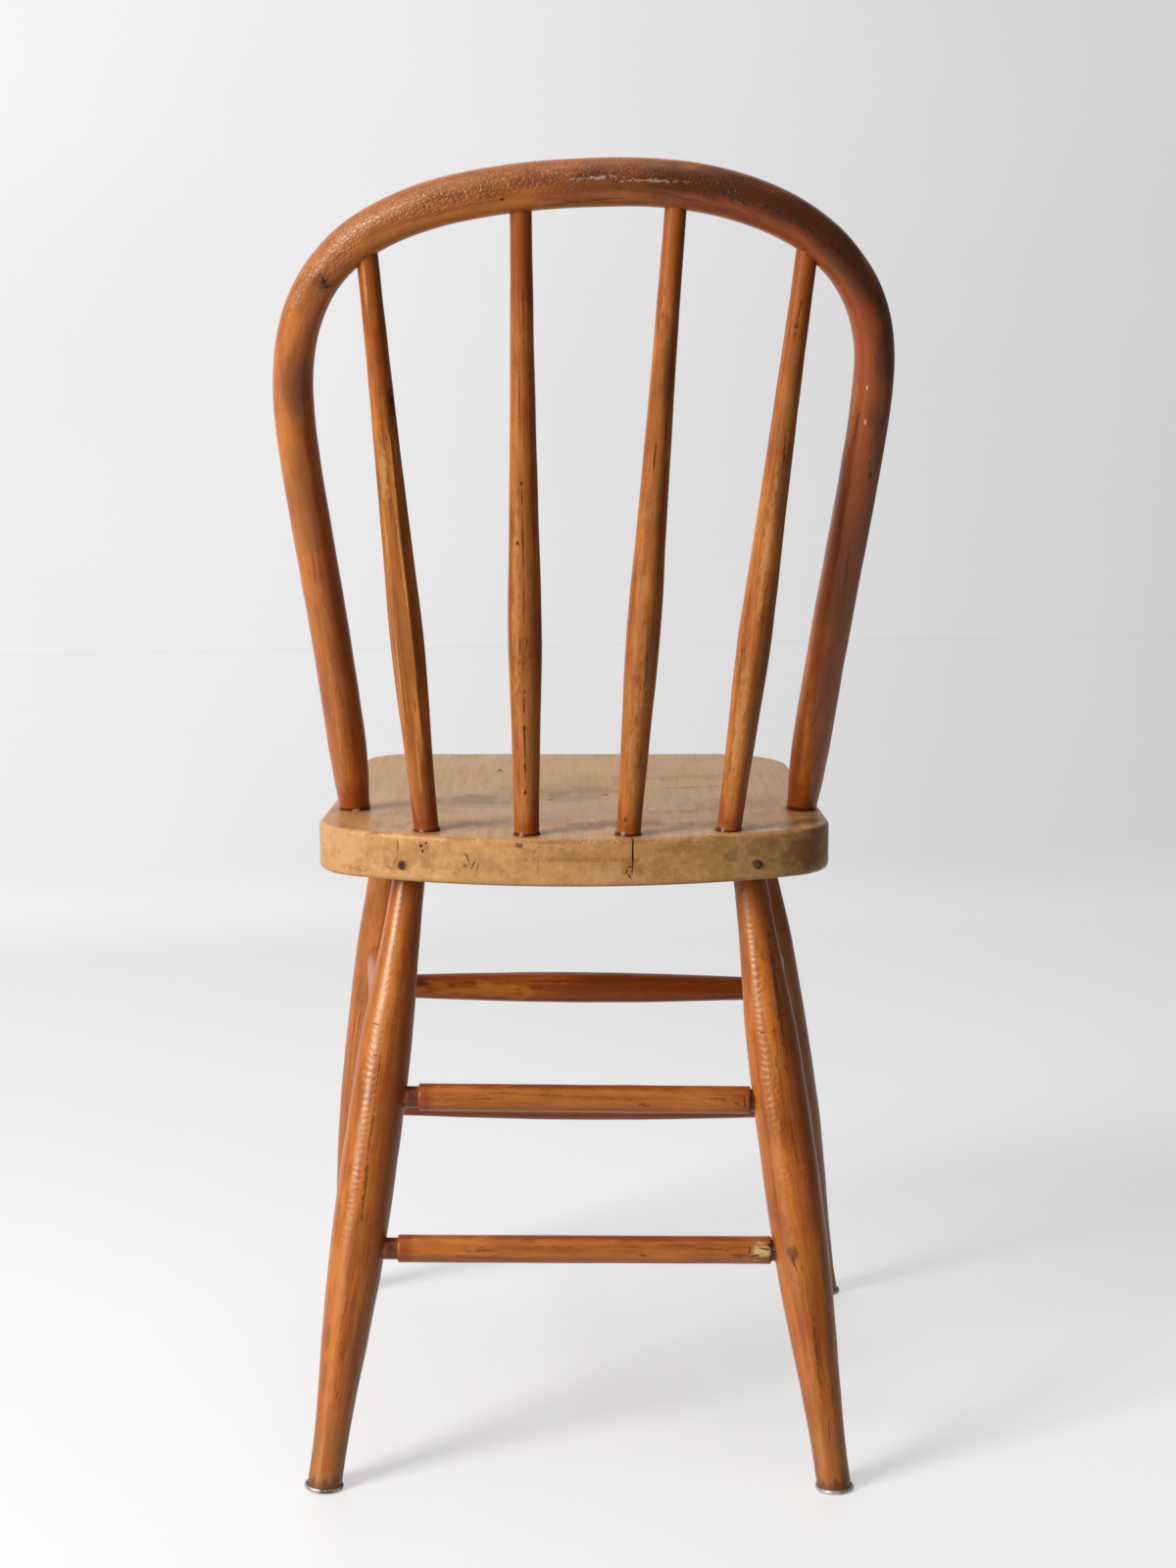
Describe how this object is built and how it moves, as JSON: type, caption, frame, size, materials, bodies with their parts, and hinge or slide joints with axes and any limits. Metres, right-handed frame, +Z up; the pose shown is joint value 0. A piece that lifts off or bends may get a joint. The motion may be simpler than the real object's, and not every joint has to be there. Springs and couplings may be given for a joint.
{
  "type": "hoop-back kitchen chair",
  "caption": "Hoop-back kitchen chair in worn amber varnish, with a pale worn plank seat, turned splayed legs joined by rungs and a bent bow holding turned spindles.",
  "frame": {"origin": "centre of the chair's bounding box, on the floor that the chair stands on", "axes": "+Z up, +X towards the sitter's left, -Y towards the front of the chair, so that the back leans towards +Y"},
  "size_m": [0.418, 0.4514, 0.8908],
  "materials": {
    "seat_wood": "worn satin, bare pale wood with brown stains, scratches and a split at the back edge",
    "bow_varnish": "old amber varnish, glossy and crackled over the crown, worn paler inside the sides",
    "spindle_varnish": "old amber varnish worn thin along the middle, dark rings at the seat",
    "leg_varnish": "old amber varnish with turning ripples, dark flecks and grubby feet",
    "rung_varnish": "old red-brown varnish with dark joints",
    "glide_metal": "dull grey plated metal with a lighter rim",
    "nail_iron": "dark oxidised iron"
  },
  "bodies": {
    "root": {"seat": "seat_wood", "back_bow": "bow_varnish", "spindle_left_outer": "spindle_varnish", "spindle_left_inner": "spindle_varnish", "spindle_right_inner": "spindle_varnish", "spindle_right_outer": "spindle_varnish", "rear_leg_left": "leg_varnish", "rear_leg_right": "leg_varnish", "front_leg_left": "leg_varnish", "front_leg_right": "leg_varnish", "rear_rung_upper": "rung_varnish", "rear_rung_lower": "rung_varnish", "front_rung_upper": "rung_varnish", "front_rung_lower": "rung_varnish", "side_rung_left_upper": "rung_varnish", "side_rung_left_lower": "rung_varnish", "side_rung_right_upper": "rung_varnish", "side_rung_right_lower": "rung_varnish", "glide_rear_left": "glide_metal", "glide_rear_right": "glide_metal", "glide_front_left": "glide_metal", "glide_front_right": "glide_metal", "seat_nail_left": "nail_iron", "seat_nail_right": "nail_iron", "rung_nail": "nail_iron"}
  },
  "joints": []
}
